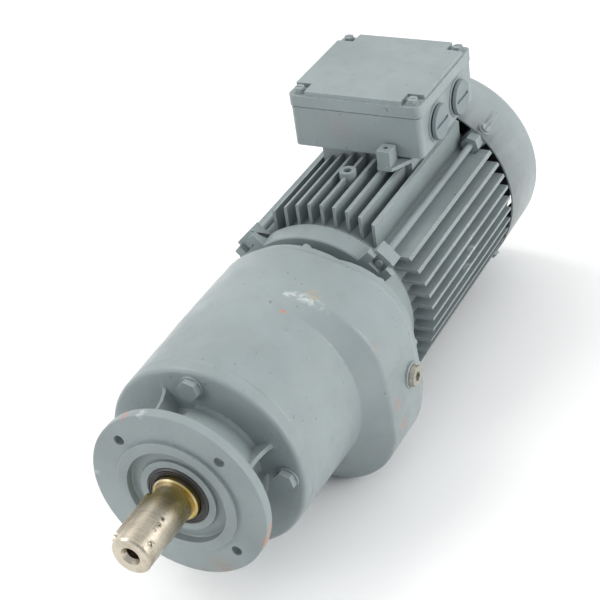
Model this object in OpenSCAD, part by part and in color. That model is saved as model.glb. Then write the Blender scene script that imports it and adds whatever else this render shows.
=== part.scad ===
// Inline helical gear reducer with a flange-mounted, fan-cooled motor.
// Row frame: origin at the centre of the output flange face, output shaft
// towards -Y, motor towards +Y, +Z up (terminal box side). Millimetres.

/* [Output flange] */
// Outer diameter of the output flange
flange_d = 160; // [156:1:170]
// Thickness of the flange plate
flange_t = 10; // [8:0.5:14]
// Diameter of the centring spigot
spigot_d = 110; // [106:1:112]
// Height of the centring spigot
spigot_h = 3.5; // [2:0.5:4]
// Bolt circle of the flange holes
flange_pcd = 130; // [128:1:134]
// Diameter of each flange hole
flange_hole_d = 9; // [7:0.5:11]

/* [Output shaft] */
// Diameter of the output shaft
shaft_d = 35; // [30:1:36]
// Distance from the flange face to the shaft end
shaft_len = 74; // [70:1:90]
// Width of the shaft key
key_w = 10; // [8:1:10]
// Direction of the key, from +X towards +Z
key_angle = 165; // [150:1:180]

/* [Gear case] */
// Radius of the round part of the case
case_r = 92; // [91:0.5:94]
// Rear end of the case
case_rear = 238; // [236:0.5:239]
// Radius of the side lobe that holds the first stage gear
lobe_r = 71.5; // [70:0.5:73]

/* [Gears] */
// Centre distance of both stages
centre_a = 54; // [54]
// Thinning of each tooth, for backlash
thinning = 0.3; // [0.24:0.02:0.4]

/* [Motor] */
// Radius of the housing core under the fins
core_r = 79; // [78:0.5:80]
// Radius over the fin tips
fin_r = 100; // [96:0.5:100]
// Thickness of a fin
fin_t = 3; // [2:0.25:3.5]
// Outer radius of the fan cowl
cowl_r = 101; // [100:0.5:102]
// Rear end of the fan cowl
cowl_rear = 578; // [576:1:582]

/* [Terminal box] */
// Half width of the terminal box
box_hw = 63; // [62:0.5:64]
// Top of the terminal box base
box_top = 146.5; // [145:0.5:148]
// Top of the lid
lid_top = 163.5; // [162:0.5:166]

/* [Hidden] */
$fn = 48;
paint = [0.55, 0.60, 0.61];
steel = [0.70, 0.69, 0.66];
dark = [0.16, 0.16, 0.17];
cx = 48.3; // countershaft axis
cz = -sqrt(centre_a * centre_a - cx * cx);
mesh_dir = atan2(cz, cx);
lob1 = [36, 12];
lob2 = [40, -38];
ears = [45, 135, 225, 315];
bx = box_hw;
bolt_r = 75; // circle of the bolts between flange and case
by0 = 382;
by1 = 508;

// ---------- helpers ----------
// cylinder along +Y
module ycyl(r, y0, y1, x = 0, z = 0, r2 = -1)
    translate([x, y0, z]) rotate([-90, 0, 0]) cylinder(r1 = r, r2 = r2 < 0 ? r : r2, h = y1 - y0);
// turned shape about the Y axis from [radius, y] points
module yrev(pts, x = 0, z = 0)
    translate([x, 0, z]) rotate([-90, 0, 0]) rotate_extrude() polygon(pts);
// an XZ profile drawn out from y0 to y1
module yext(y0, y1) translate([0, y1, 0]) rotate([90, 0, 0]) linear_extrude(height = y1 - y0) children();
// turn a child made on +X to the direction a, from +X towards +Z
module at_angle(a) rotate([0, -a, 0]) children();
module rrect(hx, hy, r) {
    square([2 * hx, 2 * (hy - r)], center = true);
    square([2 * (hx - r), 2 * hy], center = true);
    for (sx = [-1, 1], sy = [-1, 1]) translate([sx * (hx - r), sy * (hy - r)]) circle(r = r);
}
function sector(a0, a1, r) = concat([[0, 0]], [for (k = [0:4]) let(a = a0 + (a1 - a0) * k / 4) [r * cos(a), r * sin(a)]]);

// ---------- gears ----------
function inv(a) = tan(a) * 180 / PI - a;
function half(z, m, r) = let(rb = m * z / 2 * cos(20))
    90 / z - thinning / 2 / (m * z / 2) * 180 / PI + inv(20) - inv(acos(min(1, rb / max(r, rb))));
// spur gear outline with a tooth centred on angle rot
function gear_pts(z, m, add, rot) = let(
        rt = m * z / 2 + add, rr = m * z / 2 - 1.25 * m, rb = m * z / 2 * cos(20), r0 = max(rb, rr + 0.05), n = 3)
    [for (i = [0:z - 1]) for (p = concat(
            [[rr, -half(z, m, r0) * 0.98]],
            [for (k = [0:n]) let(r = r0 + (rt - r0) * k / n) [r, -half(z, m, r)]],
            [for (k = [n:-1:0]) let(r = r0 + (rt - r0) * k / n) [r, half(z, m, r)]],
            [[rr, half(z, m, r0) * 0.98]]))
        let(a = rot + 360 * i / z + p[1]) [p[0] * cos(a), p[0] * sin(a)]];

// ---------- bearings ----------
module bearing_outer(ri, ro, y0, y1, x = 0, z = 0) {
    t = ro - ri; w = y1 - y0; rb = 0.26 * t; rp = ri + t / 2; ym = (y0 + y1) / 2;
    color(steel) difference() {
        yrev([[ro - 0.29 * t, y0], [ro - 0.6, y0], [ro, y0 + 0.6], [ro, y1 - 0.6], [ro - 0.6, y1], [ro - 0.29 * t, y1]], x, z);
        translate([x, ym, z]) rotate([-90, 0, 0]) rotate_extrude() translate([rp, 0]) circle(r = rb + 0.08);
    }
}
module bearing_inner(ri, ro, y0, y1, n, x = 0, z = 0) {
    t = ro - ri; rb = 0.26 * t; rp = ri + t / 2; ym = (y0 + y1) / 2; w = y1 - y0;
    color(steel) difference() {
        yrev([[ri, y0 + 0.5], [ri + 0.5, y0], [ri + 0.29 * t, y0], [ri + 0.29 * t, y1], [ri + 0.5, y1], [ri, y1 - 0.5]], x, z);
        translate([x, ym, z]) rotate([-90, 0, 0]) rotate_extrude() translate([rp, 0]) circle(r = rb + 0.08);
    }
    color("goldenrod") translate([x, ym, z]) {
        for (i = [0:n - 1]) at_angle(360 * i / n) translate([rp, 0, 0]) sphere(r = rb);
        yrev([[rp - 0.1 * t, -0.06 * w], [rp + 0.1 * t, -0.06 * w], [rp + 0.1 * t, 0.06 * w], [rp - 0.1 * t, 0.06 * w]]);
    }
}

// ---------- output side ----------
module output_flange() color(paint) difference() {
    union() {
        // plate, spigot ring and seal hub
        yrev([[0, 0], [45.3, 0], [45.3, -spigot_h + 0.4], [45.7, -spigot_h],
            [spigot_d / 2 - 0.8, -spigot_h], [spigot_d / 2, -spigot_h + 0.8], [spigot_d / 2, 0],
            [flange_d / 2 - 1, 0], [flange_d / 2, 1], [flange_d / 2, flange_t - 1.5],
            [flange_d / 2 - 1.5, flange_t], [0, flange_t]]);
        // neck
        ycyl(50, 9, 49);
        difference() {
            yrev([[0, 9], [64, 9], [62.5, 12], [62.5, 27], [61, 31], [56.2, 43], [56, 45.5], [57.5, 48.5], [0, 48.5]]);
            for (k = [0:3]) yext(8, 49) polygon(sector(90 + 90 * k, 111 + 90 * k, 110));
        }
        // base disc
        yrev([[0, 48], [86, 48], [88.2, 48.5], [89.7, 49.8], [90.2, 52], [90.4, 62], [0, 62]]);
        // ribs beside the bolt pockets
        for (a = [25, 112, 205, 292]) at_angle(a) translate([0, 0, -2.5]) linear_extrude(height = 5)
            polygon([[40, 8], [68, 8], [66.5, 14], [66, 30], [67.5, 38], [70, 45], [71.5, 49], [40, 49]]);
        // locating step
        ycyl(62, 61, 67);
    }
    // groove between spigot ring and seal hub
    yrev([[34.7, -1], [45.2, -1], [45.2, 3.2], [44.2, 4.2], [36, 4.2], [34.7, 3]]);
    // seal seat, shaft passage, bearing seat
    ycyl(28, -5, 9);
    ycyl(23.5, 8, 24.5);
    ycyl(42.5, 24, 43);
    ycyl(43, 43, 80);
    // flange holes
    for (a = ears) ycyl(flange_hole_d / 2, -6, 18, flange_pcd / 2 * cos(a), flange_pcd / 2 * sin(a));
    // bolt holes through the base disc
    for (a = [0, 90, 180, 270]) ycyl(5.5, 44, 64, bolt_r * cos(a), bolt_r * sin(a));
}
module output_seal() color(dark) difference() {
    yrev([[21.6, -0.6], [22.6, -1.2], [26.6, -1.2], [28, -0.2], [28, 7], [21.35, 7], [21.05, 5], [21.35, 3]]);
    yrev([[23.4, -2], [24.2, -2], [24.2, -0.5], [23.4, -0.5]]);
    yrev([[25.3, -2], [26.0, -2], [26.0, -0.5], [25.3, -0.5]]);
}
module output_shaft() color(steel) difference() {
    yrev([[0, -shaft_len], [shaft_d / 2 - 1.5, -shaft_len], [shaft_d / 2, -shaft_len + 1.5],
        [shaft_d / 2, -6], [19.8, -6], [21, -4.8], [21, 24], [22.5, 24], [22.5, 43.1], [25.5, 43.1], [25.5, 83.5],
        [19, 83.5], [19, 113], [15.5, 117.9], [12.5, 117.9], [12.5, 137.4], [11.5, 138.4], [0, 138.4]]);
    // tapped centre hole
    ycyl(6, -shaft_len - 1, -46);
    ycyl(8.6, -shaft_len - 0.01, -shaft_len + 4.4, 0, 0, 6);
    ycyl(6, -46.01, -43, 0, 0, 0.5);
    // keyways for hub and gear
    at_angle(key_angle) {
        translate([12.5, -62, -key_w / 2]) cube([8, 46, key_w]);
        for (y = [-62, -16]) translate([12.5, y, 0]) rotate([0, 90, 0]) cylinder(r = key_w / 2, h = 8);
    }
    translate([15, 86, -5]) cube([6, 24, 10]);
    // circlip groove
    yrev([[11.5, 134.6], [14, 134.6], [14, 136.2], [11.5, 136.2]]);
}
module output_key() color(steel) at_angle(key_angle) {
    translate([12.5, -62, -key_w / 2]) cube([8, 46, key_w]);
    for (y = [-62, -16]) translate([12.5, y, 0]) rotate([0, 90, 0]) cylinder(r = key_w / 2, h = 8);
}
module output_gear() color(steel) difference() {
    yext(84, 112) polygon(gear_pts(40, 2, 1.8, mesh_dir));
    ycyl(19, 83, 113);
    translate([15, 83, -5]) cube([7.3, 30, 10]);
    yrev([[27, 83], [35, 83], [34, 90], [28, 90]]);
    yrev([[28, 106], [34, 106], [35, 113], [27, 113]]);
}
module output_gear_key() color(steel) translate([15, 86, -5]) cube([7.2, 24, 10]);
module output_shaft_circlip() color(dark) difference() {
    yrev([[11.5, 134.8], [15, 134.8], [15, 136], [11.5, 136]]);
    translate([8, 134, -4]) cube([10, 3, 8]);
}
module output_front_bearing_outer() bearing_outer(22.5, 42.5, 24, 43);
module output_front_bearing_inner() bearing_inner(22.5, 42.5, 24, 43, 9);
module output_rear_bearing_outer() bearing_outer(12.5, 26, 118, 133);
module output_rear_bearing_inner() bearing_inner(12.5, 26, 118, 133, 9);

// ---------- countershaft ----------
module countershaft() color(steel) difference() {
    union() {
        yrev([[0, 79], [10, 79], [11, 80], [11, 118], [12.5, 118], [12.5, 119.9], [10, 119.9], [10, 223.6],
            [8.5, 223.6], [8.5, 239], [8, 239.5], [0, 239.5]], cx, cz);
        translate([cx, 0, cz]) yext(82, 114) polygon(gear_pts(14, 2, 2, mesh_dir + 180 + 180 / 14));
    }
    translate([cx + 6.5, 186, cz - 3]) cube([5, 14, 6]);
}
module counter_spacer() color(steel) difference() { ycyl(13.5, 134.2, 183.9, cx, cz); ycyl(10, 134, 184, cx, cz); }
module counter_gear() color(steel) difference() {
    translate([cx, 0, cz]) yext(184, 202) polygon(gear_pts(57, 1.5, 1.35, mesh_dir + 180 + 180 / 57));
    ycyl(10, 183, 203, cx, cz);
    translate([cx + 6.5, 183, cz - 3]) cube([6.1, 20, 6]);
    translate([cx, 0, cz]) {
        yrev([[20, 183], [37, 183], [36, 188], [21, 188]]);
        yrev([[21, 198], [36, 198], [37, 203], [20, 203]]);
    }
}
module counter_gear_key() color(steel) translate([cx + 6.5, 186, cz - 3]) cube([6, 14, 6]);
module counter_front_bearing_outer() bearing_outer(10, 23.5, 120, 134, cx, cz);
module counter_front_bearing_inner() bearing_inner(10, 23.5, 120, 134, 8, cx, cz);
module counter_rear_bearing_outer() bearing_outer(8.5, 23.5, 224, 238, cx, cz);
module counter_rear_bearing_inner() bearing_inner(8.5, 23.5, 224, 238, 7, cx, cz);
module motor_pinion() color(steel) difference() {
    yext(182, 204) polygon(gear_pts(15, 1.5, 1.5, mesh_dir));
    ycyl(6.5, 181, 205);
}

// ---------- gear case ----------
// outline of the lobe: two half circles and their common tangents, drawn in by d
function lobe_pts(r) = let(u = (lob2 - lob1) / norm(lob2 - lob1), an = atan2(u[0], -u[1])) concat(
    [for (k = [0:22]) lob1 + r * [cos(an + 180 * k / 22), sin(an + 180 * k / 22)]],
    [for (k = [0:22]) lob2 + r * [cos(an + 180 + 180 * k / 22), sin(an + 180 + 180 * k / 22)]]);
module lobe2d(d) polygon(lobe_pts(lobe_r - d));
// front blend, full body and rear rounding of the lobe: [start, inset]
lobe_steps = [[151, 20], [153.5, 17.5], [156, 15], [159, 12.2], [162, 9.4], [165, 6.6], [168, 4],
    [171, 1.8], [173.5, 0.6], [176, 0], [230, 1.2], [233.5, 3], [236, 5.5]];
module gear_case() color(paint) difference() {
    union() {
        yrev([[0, 62], [case_r - 1.6, 62], [case_r, 150], [case_r, 229], [case_r - 1, 233], [case_r - 3, 236.2],
            [case_r - 6, case_rear], [0, case_rear]]);
        for (i = [0:len(lobe_steps) - 1])
            yext(lobe_steps[i][0], i < 9 ? 232 : i < len(lobe_steps) - 1 ? lobe_steps[i + 1][0] : case_rear)
                lobe2d(lobe_steps[i][1]);
        // oil plug boss
        translate([90, 217, -12]) rotate([0, 90, 0]) cylinder(r = 12.5, h = 21);
    }
    // front chamber, round rear chamber and lobe chamber
    difference() {
        ycyl(80, 61, 118);
        for (a = [0, 90, 180, 270]) ycyl(11, 60, 94, bolt_r * cos(a), bolt_r * sin(a));
    }
    difference() {
        union() {
            ycyl(84, 134, case_rear + 1);
            yext(186, case_rear + 1) lobe2d(9);
            yext(178, 187) lobe2d(12);
        }
        for (p = cover_screws) ycyl(8, 212, case_rear + 2, p[0], p[1]);
    }
    // bearing seats in the web
    ycyl(26, 117, 133);
    ycyl(16, 117, 135);
    ycyl(23.5, 120, 135, cx, cz);
    ycyl(19.5, 117, 121, cx, cz);
    // tapped holes for the flange bolts
    for (a = [0, 90, 180, 270]) ycyl(5.02, 60, 86, bolt_r * cos(a), bolt_r * sin(a));
    // oil plug hole and drain hole
    translate([80, 217, -12]) rotate([0, 90, 0]) cylinder(r = 8.02, h = 40);
    at_angle(205) translate([70, 205, 0]) rotate([0, 90, 0]) cylinder(r = 8.02, h = 40);
    at_angle(205) translate([case_r - 1.2, 205, 0]) rotate([0, 90, 0]) cylinder(r = 11.5, h = 10);
    // rear cover screw holes
    for (p = cover_screws) ycyl(3.02, 218, 240, p[0], p[1]);
}
cover_screws = [[-57, 57], [4, 80.5], [-80.5, 0], [-57, -57], [-10, -80], [72, 57], [97, -2], [84, -76], [42, -97]];
module plug_at(y) {
    difference() {
        translate([0, y, 0]) rotate([0, 90, 0]) cylinder(r1 = 9.8, r2 = 9.2, h = 3.4);
        translate([-3, y, 0]) rotate([0, 90, 0]) cylinder(r = 4.6, h = 8, $fn = 6);
    }
    translate([-14, y, 0]) rotate([0, 90, 0]) cylinder(r = 8, h = 14.5);
}
module oil_plugs() color([0.72, 0.70, 0.52]) {
    translate([112.5, 0, -12]) plug_at(217);
    at_angle(205) translate([case_r + 0.3, 0, 0]) plug_at(205);
}
module ring_at(y) difference() {
    translate([0, y, 0]) rotate([0, 90, 0]) cylinder(r = 10.6, h = 1.5);
    translate([-1, y, 0]) rotate([0, 90, 0]) cylinder(r = 8.05, h = 4);
}
module oil_plug_washers() color("peru") {
    translate([111, 0, -12]) ring_at(217);
    at_angle(205) translate([case_r - 1.2, 0, 0]) ring_at(205);
}
module flange_bolts() color(paint) for (a = [0, 90, 180, 270]) {
    translate([bolt_r * cos(a), 0, bolt_r * sin(a)]) {
        rotate([0, 15, 0]) ycyl(9.6, 40, 46, $fn = 6);
        ycyl(5, 45, 84);
    }
}
module flange_bolt_washers() color(paint) for (a = [0, 90, 180, 270])
    difference() {
        ycyl(10.5, 46, 48, bolt_r * cos(a), bolt_r * sin(a));
        ycyl(5.3, 45, 49, bolt_r * cos(a), bolt_r * sin(a));
    }
module rear_cover() color(paint) difference() {
    union() {
        yext(case_rear, 246) { circle(r = case_r - 5.5); lobe2d(5.5); }
        ycyl(29, 223, 239, cx, cz);
        ycyl(27, 230, 239);
    }
    ycyl(15, 229, 250);
    ycyl(20, 239, 247);
    ycyl(23.5, 222, 238, cx, cz);
    ycyl(12, 237, 241, cx, cz);
    for (p = cover_screws) ycyl(3.3, 237, 247, p[0], p[1]);
}
module rear_cover_screws() color(steel) for (p = cover_screws) difference() {
    union() { ycyl(4.8, 246, 251.5, p[0], p[1]); ycyl(3, 219, 247, p[0], p[1]); }
    ycyl(2.9, 248.5, 252, p[0], p[1], $fn = 6);
}

// ---------- motor ----------
module rotor_shaft() color(steel)
    yrev([[0, 179], [6, 179], [6.5, 179.5], [6.5, 206], [11, 206], [11, 228], [12.5, 230], [12.5, 281.1], [15.5, 281.1],
        [15.5, 326], [17, 326], [17, 452], [13, 455], [13, 495.9], [10, 495.9], [10, 511], [8, 513], [8, 550], [7, 551], [0, 551]]);
module rotor_seal() color(dark)
    yrev([[13.4, 239], [20, 239], [20, 246], [12.9, 246], [12.55, 244], [12.9, 242]]);
module rotor_core() color([0.35, 0.35, 0.37]) difference() { ycyl(37.5, 335, 445); ycyl(17, 334, 446); }
module rotor_cage() color("silver") for (s = [0, 1]) {
    difference() {
        if (s == 0) ycyl(36.5, 327, 335); else ycyl(36.5, 445, 453);
        ycyl(22, 326, 454);
    }
    for (k = [0:7]) at_angle(45 * k) translate([24, s == 0 ? 319 : 452, -1.5]) cube([11, 9, 3]);
}
module motor_front_bearing_outer() bearing_outer(12.5, 26, 266, 281);
module motor_front_bearing_inner() bearing_inner(12.5, 26, 266, 281, 9);
module motor_rear_bearing_outer() bearing_outer(10, 23.5, 496, 510);
module motor_rear_bearing_inner() bearing_inner(10, 23.5, 496, 510, 8);
module wave_washer() color(steel) difference() { ycyl(23.3, 494.6, 495.8); ycyl(19, 494, 497); }
module stator_core() color([0.35, 0.35, 0.37]) difference() {
    ycyl(73, 335, 445);
    ycyl(38, 334, 446);
    for (k = [0:23]) at_angle(15 * k) translate([36, 334, -2]) cube([20, 112, 4]);
}
module stator_winding() color([0.55, 0.25, 0.12]) {
    yrev([[46, 335], [43, 330], [43, 318], [47, 313], [60, 313], [66, 318], [66, 330], [62, 335]]);
    yrev([[46, 445], [43, 450], [43, 464], [47, 469], [60, 469], [66, 464], [66, 450], [62, 445]]);
}
module motor_housing() color(paint) difference() {
    union() {
        ycyl(core_r, 284, 494);
        intersection() {
            ycyl(fin_r, 293, 494);
            union() {
                for (x = [-50:12.5:50], s = [-1, 1])
                    translate([x - fin_t / 2, 293, s > 0 ? 40 : -110]) cube([fin_t, 201, 70]);
                for (z = [-55.8:12.4:56], s = [-1, 1])
                    translate([s > 0 ? 40 : -110, 293, z - fin_t / 2]) cube([70, 201, fin_t]);
            }
        }
        // terminal box pedestal
        translate([-46, 392, 60]) cube([92, 102, 46]);
        // lifting boss
        translate([0, 351, 60]) cylinder(r = 8, h = 44);
        // earth lug on a ledge of the pedestal
        translate([25, 363.5, 101]) cube([13, 15.5, 19]);
        translate([0, 0, 100.5]) linear_extrude(height = 3.5)
            polygon([[24.5, 363], [39.5, 363], [50, 383], [50, 390], [46, 393], [24.5, 393]]);
    }
    ycyl(73, 283, 495);
    translate([0, 351, 88]) cylinder(r = 4, h = 20);
    translate([31, 372, 104]) cylinder(r = 2.5, h = 20);
    for (a = ears) ycyl(9.8, 483.5, 495, 92 * cos(a), 92 * sin(a));
    translate([-34, 404, 60]) cube([68, 82, 50]);
}
module ear_block(r0, r1, y0, y1, w, cham) intersection() {
    translate([r0, y0, -w / 2]) cube([r1 - r0, y1 - y0, w]);
    translate([0, y0 - 1, 0]) rotate([-90, 0, 0]) cylinder(r = r1 + cham, h = y1 - y0 + 2);
}
module front_end_shield() color(paint) difference() {
    union() {
        yrev([[0, 247.5], [70, 247.5], [70, 262], [83, 262], [84.2, 263.2], [84.5, 283], [84.5, 284], [0, 284]]);
        ycyl(72.9, 283, 290);
        for (a = ears) at_angle(a) {
            ear_block(70, 100.5, 268, 284, 21, 1.2);
            ear_block(70, 97, 262, 268.5, 30, 0.5);
        }
    }
    ycyl(18, 246, 266.5);
    ycyl(26, 266, 281.5);
    ycyl(60, 281, 291);
    // hollow of the neck, open to the front
    difference() { ycyl(62, 246, 256); ycyl(32, 246, 256); }
    for (a = ears) ycyl(3.6, 261, 285, 92 * cos(a), 92 * sin(a));
    for (a = ears) at_angle(a) translate([88, 261, -7]) cube([16, 7.5, 14]);
}
module rear_end_shield() color(paint) difference() {
    union() {
        ycyl(core_r, 494, 508);
        ycyl(72.9, 488, 495);
        ycyl(29, 490, 513);
        for (a = ears) at_angle(a) {
            ear_block(70, 98.8, 496.5, 520, 20, 0);
            translate([92, 0, 0]) ycyl(9.4, 484, 496.8, $fn = 6);
        }
    }
    difference() { ycyl(66, 487, 501); ycyl(29, 486, 502); }
    ycyl(23.5, 494.5, 514);
    ycyl(14.5, 486, 495);
    for (a = ears) at_angle(a) {
        translate([92, 0, 0]) ycyl(3.6, 483, 522);
        translate([96, 508, 0]) rotate([0, 90, 0]) cylinder(r = 2.55, h = 8);
    }
}
module tie_rods() color(steel) for (a = ears) ycyl(3.5, 266, 526, 92 * cos(a), 92 * sin(a));
module tie_rod_nuts() color(steel) for (a = ears) at_angle(a) translate([92, 0, 0]) difference() {
    ycyl(6.4, 520, 525.5, $fn = 6);
    ycyl(3.52, 519, 527);
}
module fan() color(dark) {
    difference() {
        union() {
            yrev([[8, 516], [17, 516], [17, 524], [84, 536], [84, 538], [17, 527.5], [16, 546], [8, 546]]);
            for (k = [0:8]) at_angle(40 * k) translate([16, 0, -1.2]) linear_extrude(height = 2.4)
                polygon([[0, 526], [68, 537], [71, 537], [71, 562], [62, 565], [30, 562], [0, 545]]);
        }
        ycyl(8, 515, 548);
    }
}
module fan_circlip() color(steel) difference() { ycyl(11, 546.1, 547.3); ycyl(8, 545, 548); translate([0, 545, -3]) cube([12, 4, 6]); }
module fan_cowl() color(paint) difference() {
    union() {
        yrev([[cowl_r - 1.5, 497], [cowl_r, 497], [cowl_r, 565], [cowl_r - 0.8, 569], [cowl_r - 3, 573], [cowl_r - 6, 576],
            [cowl_r - 10, cowl_rear - 0.3], [cowl_r - 14, cowl_rear], [cowl_r - 16, cowl_rear], [cowl_r - 16, cowl_rear - 1.5],
            [cowl_r - 12, cowl_rear - 1.7], [cowl_r - 7.5, cowl_rear - 3.2], [cowl_r - 4, 571.8], [cowl_r - 2.2, 568.4], [cowl_r - 1.5, 565]]);
        for (k = [1:6]) yrev([[22 + 9 * k, cowl_rear - 1.5], [25.5 + 9 * k, cowl_rear - 1.5], [25.5 + 9 * k, cowl_rear], [22 + 9 * k, cowl_rear]]);
        ycyl(26, cowl_rear - 1.5, cowl_rear);
        for (k = [0:7]) at_angle(45 * k + 22.5) translate([24, cowl_rear - 1.5, -2.5]) cube([cowl_r - 39, 1.5, 5]);
    }
    for (a = ears) at_angle(a) translate([cowl_r - 6, 508, 0]) rotate([0, 90, 0]) cylinder(r = 2.7, h = 12);
}
module cowl_screws() color(steel) for (a = ears) at_angle(a) difference() {
    union() {
        translate([cowl_r, 508, 0]) rotate([0, 90, 0]) cylinder(r = 6.4, h = 1.2);
        translate([cowl_r + 1, 508, 0]) rotate([0, 90, 0]) cylinder(r = 5, h = 3.2, $fn = 6);
        translate([96.3, 508, 0]) rotate([0, 90, 0]) cylinder(r = 2.5, h = 5.5);
    }
    translate([cowl_r + 3.2, 502, -0.6]) cube([3, 12, 1.2]);
}

// ---------- terminal box ----------
lidx = 57.5;
lidy = 55;
xmid = (bx - 69) / 2;
ymid = (by0 + by1) / 2;
module at_corners() for (sx = [-1, 1], sy = [-1, 1]) translate([xmid + sx * lidx, ymid + sy * lidy, 0]) children();
module box2d(i, r) translate([xmid, ymid]) rrect((bx + 69) / 2 - i, 63 - i, r);
module terminal_box() color(paint) difference() {
    union() {
        difference() {
            union() {
                translate([0, 0, 106]) linear_extrude(height = box_top - 106) box2d(0, 5);
                for (y = [418, 468]) translate([bx - 5, y, 127]) rotate([0, 90, 0]) cylinder(r = 19.2, h = 6.5);
            }
            translate([0, 0, 110]) linear_extrude(height = 50) box2d(4, 3);
        }
        intersection() {
            at_corners() translate([0, 0, 107]) cylinder(r = 8, h = box_top - 107);
            translate([0, 0, 106]) linear_extrude(height = box_top - 106) box2d(1, 4);
        }
    }
    at_corners() translate([0, 0, 128]) cylinder(r = 2.52, h = 30);
    translate([0, ymid, 105]) cylinder(r = 24, h = 6);
    for (y = [418, 468]) translate([50, y, 127]) rotate([0, 90, 0]) cylinder(r = 12.5, h = 30);
    for (y = [418, 468]) translate([-70, y, 127]) rotate([0, 90, 0]) difference() { cylinder(r = 14, h = 2); cylinder(r = 13, h = 2.2); }
}
module lid_gasket() color(dark) difference() {
    translate([0, 0, box_top]) linear_extrude(height = 1) box2d(1, 4);
    translate([0, 0, box_top - 1]) linear_extrude(height = 4) difference() { box2d(4.5, 3); at_corners() circle(r = 8); }
    at_corners() translate([0, 0, box_top - 1]) cylinder(r = 2.8, h = 4);
}
module corner_squares(h) for (sx = [-1, 1], sy = [-1, 1])
    translate([xmid + sx * ((bx + 69) / 2 + 1), ymid + sy * 64]) square([h, h], center = true);
module terminal_lid() color(paint) difference() {
    union() {
        translate([0, 0, box_top + 1]) linear_extrude(height = lid_top - 4.5 - box_top - 1) box2d(-1, 6);
        translate([0, 0, lid_top - 5]) linear_extrude(height = 5) difference() {
            box2d(0.5, 4);
            corner_squares(36);
        }
    }
    translate([0, 0, box_top - 1]) linear_extrude(height = lid_top - 8 - box_top + 1) difference() {
        box2d(4, 3);
        corner_squares(38);
    }
    at_corners() translate([0, 0, box_top - 1]) cylinder(r = 2.8, h = 20);
}
module lid_screws() color(steel) at_corners() difference() {
    union() {
        translate([0, 0, lid_top - 4.5]) cylinder(r = 6.2, h = 1.2);
        translate([0, 0, lid_top - 3.4]) cylinder(r = 5.2, h = 3.8, $fn = 6);
        translate([0, 0, 130]) cylinder(r = 2.5, h = lid_top - 4 - 130);
    }
    translate([-6, -0.6, lid_top - 1]) cube([12, 1.2, 3]);
}
module blanking_plugs() color([0.42, 0.46, 0.47]) for (y = [418, 468]) difference() {
    union() {
        translate([bx + 3, y, 127]) rotate([0, 90, 0]) cylinder(r1 = 17.5, r2 = 16.6, h = 3.4);
        translate([bx - 7, y, 127]) rotate([0, 90, 0]) cylinder(r = 12.45, h = 11);
    }
    translate([bx + 4.6, y - 13, 125.4]) cube([4, 26, 3.2]);
}
module plug_seals() color(dark) for (y = [418, 468]) difference() {
    translate([bx + 1.5, y, 127]) rotate([0, 90, 0]) cylinder(r = 16.4, h = 1.5);
    translate([bx, y, 127]) rotate([0, 90, 0]) cylinder(r = 12.5, h = 4);
}
module terminal_block() color([0.30, 0.16, 0.10]) difference() {
    union() {
        translate([-20, ymid - 32, 110]) cube([40, 64, 10]);
        for (x = [-10, 10], k = [-1:1]) translate([x - 7, ymid + 19 * k - 7, 119]) cube([14, 14, 3]);
    }
    for (x = [-10, 10], k = [-1:1]) translate([x, ymid + 19 * k, 112]) cylinder(r = 2.52, h = 12);
}
module terminal_studs() color("goldenrod") for (x = [-10, 10], k = [-1:1]) translate([x, ymid + 19 * k, 0]) {
    translate([0, 0, 113]) cylinder(r = 2.5, h = 21);
    translate([0, 0, 122]) cylinder(r = 4.6, h = 4, $fn = 6);
}

output_flange();
output_seal();
output_shaft();
output_key();
output_gear();
output_gear_key();
output_shaft_circlip();
output_front_bearing_outer();
output_front_bearing_inner();
output_rear_bearing_outer();
output_rear_bearing_inner();
counter_front_bearing_outer();
counter_front_bearing_inner();
counter_rear_bearing_outer();
counter_rear_bearing_inner();
motor_front_bearing_outer();
motor_front_bearing_inner();
motor_rear_bearing_outer();
motor_rear_bearing_inner();
countershaft();
counter_spacer();
counter_gear();
counter_gear_key();
motor_pinion();
gear_case();
rear_cover();
rear_cover_screws();
flange_bolts();
flange_bolt_washers();
oil_plugs();
oil_plug_washers();
rotor_shaft();
rotor_core();
rotor_cage();
stator_core();
stator_winding();
motor_housing();
front_end_shield();
rear_end_shield();
tie_rods();
tie_rod_nuts();
rotor_seal();
wave_washer();
fan();
fan_circlip();
fan_cowl();
cowl_screws();
terminal_box();
terminal_lid();
lid_gasket();
lid_screws();
blanking_plugs();
plug_seals();
terminal_block();
terminal_studs();
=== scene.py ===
import bpy, bmesh, math
import numpy as np
from mathutils import Vector, Matrix


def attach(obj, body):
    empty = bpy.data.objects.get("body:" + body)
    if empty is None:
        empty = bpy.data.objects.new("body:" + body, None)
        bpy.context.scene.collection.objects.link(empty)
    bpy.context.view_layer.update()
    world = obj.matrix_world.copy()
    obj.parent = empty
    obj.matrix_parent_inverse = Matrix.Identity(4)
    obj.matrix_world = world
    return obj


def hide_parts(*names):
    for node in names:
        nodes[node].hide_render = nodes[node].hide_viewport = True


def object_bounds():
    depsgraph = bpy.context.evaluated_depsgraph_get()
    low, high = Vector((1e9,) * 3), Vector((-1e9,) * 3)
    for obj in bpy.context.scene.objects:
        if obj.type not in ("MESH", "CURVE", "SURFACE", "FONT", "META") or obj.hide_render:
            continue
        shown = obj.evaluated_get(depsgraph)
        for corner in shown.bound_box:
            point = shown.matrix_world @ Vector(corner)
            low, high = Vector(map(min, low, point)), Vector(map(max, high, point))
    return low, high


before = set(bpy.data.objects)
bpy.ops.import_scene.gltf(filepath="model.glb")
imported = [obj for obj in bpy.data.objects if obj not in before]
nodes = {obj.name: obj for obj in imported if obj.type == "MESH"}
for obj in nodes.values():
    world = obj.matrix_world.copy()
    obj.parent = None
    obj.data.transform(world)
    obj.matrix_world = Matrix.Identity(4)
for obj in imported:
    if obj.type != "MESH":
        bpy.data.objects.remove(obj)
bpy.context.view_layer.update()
MM = 0.001
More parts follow.
